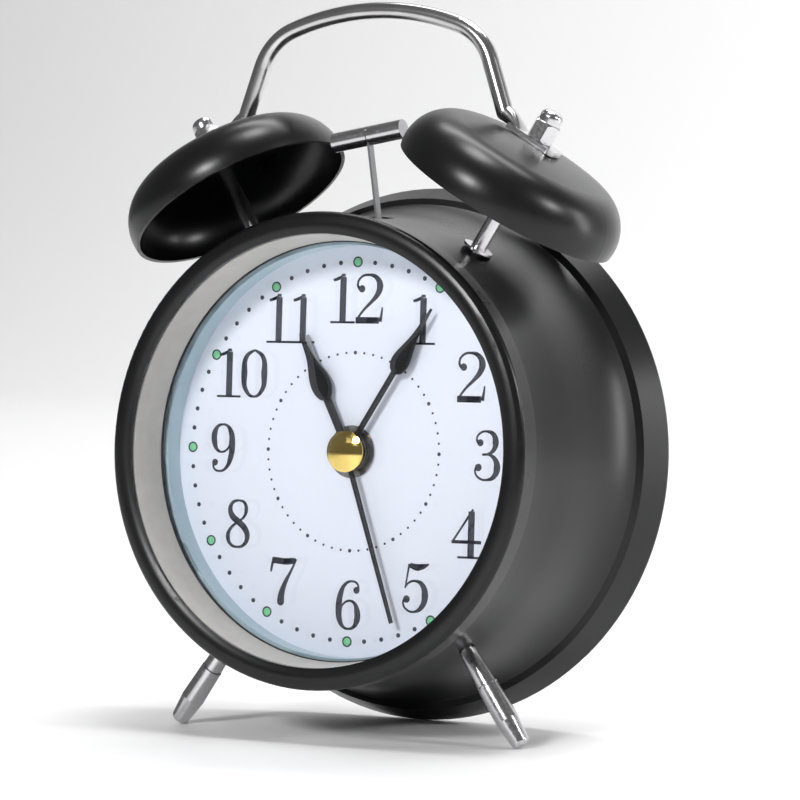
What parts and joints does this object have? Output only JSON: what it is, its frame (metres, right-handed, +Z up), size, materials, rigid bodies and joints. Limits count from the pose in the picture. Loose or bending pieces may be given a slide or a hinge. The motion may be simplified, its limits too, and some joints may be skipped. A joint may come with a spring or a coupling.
{
  "type": "alarm clock",
  "caption": "Twin bell alarm clock with a round flared case, recessed dial, arched carrying handle, swinging hammer and splayed feet.",
  "frame": {"origin": "on the floor under the middle of the bounding box; the two foot tips and the rear rim stand on z = 0", "axes": "+Z up, -Y is the side the dial faces, +X to the right seen from the front; the case axis leans back from +Y by 3.30 degrees"},
  "size_m": [0.12, 0.0632, 0.1601],
  "materials": {
    "black_paint": "semi-gloss black paint",
    "liner_grey": "satin light grey",
    "chrome": "polished nickel plate",
    "steel": "zinc plated",
    "lens_glass": "clear",
    "gasket_black": "matte",
    "spacer_clear": "translucent pale blue",
    "dial_white": "printed satin white",
    "hand_black": "gloss black",
    "brass": "polished",
    "gear_plastic": "natural acetal",
    "movement_plastic": "moulded black",
    "back_plastic": "fine textured black",
    "copper": "enamelled copper winding",
    "board": "solder mask",
    "lamp_clear": "clear"
  },
  "bodies": {
    "case": {"case_shell": "black_paint", "front_bezel": "black_paint", "bezel_liner": "liner_grey", "lens_gasket": "gasket_black", "lens": "lens_glass", "dial_spacer": "spacer_clear", "dial": "dial_white", "dial_nut": "chrome", "bell_left": "black_paint", "bell_right": "black_paint", "bell_posts": "chrome", "post_washers": "chrome", "post_nuts": "steel", "acorn_nuts": "chrome", "handle": "chrome", "foot_left": "chrome", "foot_right": "chrome", "foot_nuts": "steel", "hammer_pin": "steel", "ringer_motor": "steel", "stator": "steel", "coil": "copper", "circuit_board": "board", "quartz_crystal": "steel", "alarm_contact": "steel", "movement_housing": "movement_plastic", "lamp": "lamp_clear", "movement_cover": "movement_plastic", "housing_screws": "steel", "rear_cover": "back_plastic", "cover_screws": "steel", "cover_lugs": "steel", "battery_contacts": "steel", "light_switch": "back_plastic"},
    "second_hand": {"second_hand": "hand_black", "hub_cap": "brass", "second_wheel": "gear_plastic"},
    "third_wheel": {"third_wheel": "gear_plastic"},
    "centre_wheel": {"centre_wheel": "gear_plastic"},
    "step_wheel": {"step_wheel": "gear_plastic"},
    "rotor": {"stepper_rotor": "gear_plastic"},
    "time_knob": {"time_knob": "back_plastic", "time_setting_arbor": "gear_plastic"},
    "motion_wheel": {"motion_wheel": "gear_plastic"},
    "minute_hand": {"minute_hand": "hand_black", "cannon_pinion": "gear_plastic"},
    "hour_hand": {"hour_hand": "hand_black", "hour_wheel": "gear_plastic"},
    "alarm_knob": {"alarm_knob": "back_plastic", "alarm_setting_arbor": "gear_plastic"},
    "alarm_hand": {"alarm_hand": "hand_black", "alarm_wheel": "gear_plastic"},
    "ringer_gear": {"ringer_gear": "gear_plastic"},
    "motor_pinion": {"motor_pinion": "gear_plastic"},
    "hammer": {"hammer_head": "chrome", "hammer_arm": "steel", "hammer_lever": "gear_plastic"},
    "alarm_switch": {"alarm_switch": "back_plastic"},
    "light_button": {"light_button": "back_plastic"},
    "battery_cover": {"battery_cover": "back_plastic"}
  },
  "joints": [
    {"name": "second_hand_spin", "type": "hinge", "parent": "case", "child": "second_hand", "pos_m": [0, 0.0017, 0.06111], "axis": [0, 0.9983, -0.0575], "continuous": true},
    {"name": "third_wheel_spin", "type": "hinge", "parent": "case", "child": "third_wheel", "pos_m": [-0.00766, 0.00126, 0.05346], "axis": [0, 0.9983, -0.0575], "continuous": true},
    {"name": "centre_wheel_spin", "type": "hinge", "parent": "case", "child": "centre_wheel", "pos_m": [0, 0.0017, 0.06111], "axis": [0, 0.9983, -0.0575], "continuous": true},
    {"name": "step_wheel_spin", "type": "hinge", "parent": "case", "child": "step_wheel", "pos_m": [0.00973, 0.00137, 0.0555], "axis": [0, 0.9983, -0.0575], "continuous": true},
    {"name": "rotor_spin", "type": "hinge", "parent": "case", "child": "rotor", "pos_m": [0.00973, 0.00082, 0.04588], "axis": [0, 0.9983, -0.0575], "continuous": true},
    {"name": "time_knob_spin", "type": "hinge", "parent": "case", "child": "time_knob", "pos_m": [-0.01393, 0.00216, 0.06914], "axis": [0, 0.9983, -0.0575], "continuous": true},
    {"name": "motion_wheel_spin", "type": "hinge", "parent": "case", "child": "motion_wheel", "pos_m": [-0.00696, 0.00193, 0.06512], "axis": [0, 0.9983, -0.0575], "continuous": true},
    {"name": "minute_hand_spin", "type": "hinge", "parent": "case", "child": "minute_hand", "pos_m": [0, 0.0017, 0.06111], "axis": [0, 0.9983, -0.0575], "continuous": true},
    {"name": "hour_hand_spin", "type": "hinge", "parent": "case", "child": "hour_hand", "pos_m": [0, 0.0017, 0.06111], "axis": [0, 0.9983, -0.0575], "continuous": true},
    {"name": "alarm_knob_spin", "type": "hinge", "parent": "case", "child": "alarm_knob", "pos_m": [0.00861, 0.00211, 0.06832], "axis": [0, 0.9983, -0.0575], "continuous": true},
    {"name": "alarm_hand_spin", "type": "hinge", "parent": "case", "child": "alarm_hand", "pos_m": [0, 0.0017, 0.06111], "axis": [0, 0.9983, -0.0575], "continuous": true},
    {"name": "ringer_gear_spin", "type": "hinge", "parent": "case", "child": "ringer_gear", "pos_m": [0.00769, 0.003, 0.08368], "axis": [0, 0.9983, -0.0575], "continuous": true},
    {"name": "motor_pinion_spin", "type": "hinge", "parent": "case", "child": "motor_pinion", "pos_m": [-0.00155, 0.003, 0.08368], "axis": [0, 0.9983, -0.0575], "continuous": true},
    {"name": "hammer_swing", "type": "hinge", "parent": "case", "child": "hammer", "pos_m": [0.0064, -0.00603, 0.09211], "axis": [0, 0.9983, -0.0575], "range_deg": [-3.8, 3.5]},
    {"name": "alarm_switch_slide", "type": "slide", "parent": "case", "child": "alarm_switch", "axis": [1, 0, 0], "range_m": [0, 0.004]},
    {"name": "light_button_press", "type": "slide", "parent": "case", "child": "light_button", "axis": [0, -0.9983, 0.0575], "range_m": [0, 0.0012], "stiffness_N_per_m": 400, "springref_m": -0.0004},
    {"name": "battery_cover_slide", "type": "slide", "parent": "case", "child": "battery_cover", "axis": [0, 0.9983, -0.0575], "range_m": [0, 0.016]}
  ],
  "couplings": [
    {"joint": "third_wheel_spin", "follows": "second_hand_spin", "ratio": -0.13333},
    {"joint": "centre_wheel_spin", "follows": "second_hand_spin", "ratio": 0.016667},
    {"joint": "step_wheel_spin", "follows": "second_hand_spin", "ratio": -6},
    {"joint": "rotor_spin", "follows": "second_hand_spin", "ratio": 30},
    {"joint": "motion_wheel_spin", "follows": "time_knob_spin", "ratio": -0.33333},
    {"joint": "minute_hand_spin", "follows": "time_knob_spin", "ratio": 1},
    {"joint": "hour_hand_spin", "follows": "time_knob_spin", "ratio": 0.083333},
    {"joint": "alarm_hand_spin", "follows": "alarm_knob_spin", "ratio": -0.86667},
    {"joint": "motor_pinion_spin", "follows": "ringer_gear_spin", "ratio": -3.6}
  ]
}
